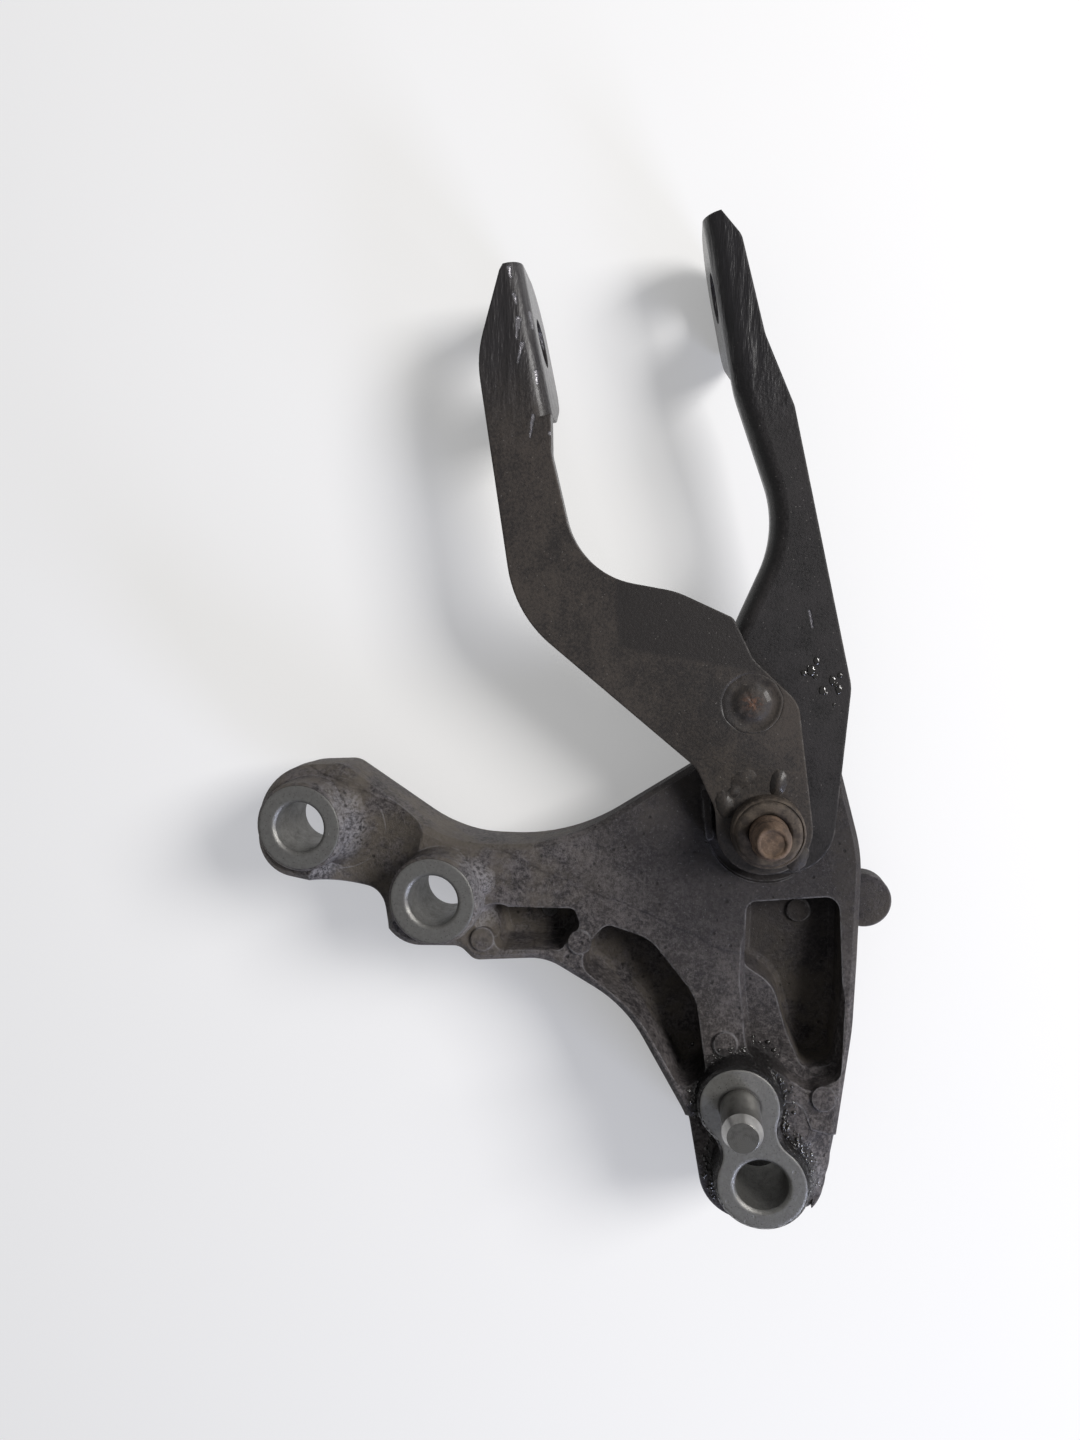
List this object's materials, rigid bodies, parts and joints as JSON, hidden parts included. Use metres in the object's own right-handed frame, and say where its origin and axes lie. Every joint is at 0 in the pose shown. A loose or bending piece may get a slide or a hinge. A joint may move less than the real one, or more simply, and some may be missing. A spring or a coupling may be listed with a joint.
{
  "type": "gearbox mount bracket",
  "caption": "Die-cast gearbox mount bracket with pocketed web, machined bolt bosses and a locating dowel, and a bolted-on pressed steel fork ending in folded clevis pads.",
  "frame": {"origin": "on the axis of the lower bore, in the plane of the machined boss faces", "axes": "+Z out of the machined faces along the bores, +Y towards the tips of the fork, +X away from the two far bosses"},
  "size_m": [0.1704, 0.2593, 0.0535],
  "materials": {
    "cast_alloy": "rough as-cast, dusty, machined on the faces",
    "pressed_steel": "worn thin dark coating with dust",
    "rusty_steel": "dull, light brown rust",
    "ground_steel": "ground, lightly oiled"
  },
  "bodies": {
    "root": {"cast_bracket": "cast_alloy", "left_arm": "pressed_steel", "right_arm": "pressed_steel", "weld_nut": "rusty_steel", "nut_weld": "rusty_steel", "fork_bolt": "rusty_steel", "dowel_pin": "ground_steel", "arm_rivet": "rusty_steel"}
  },
  "joints": []
}
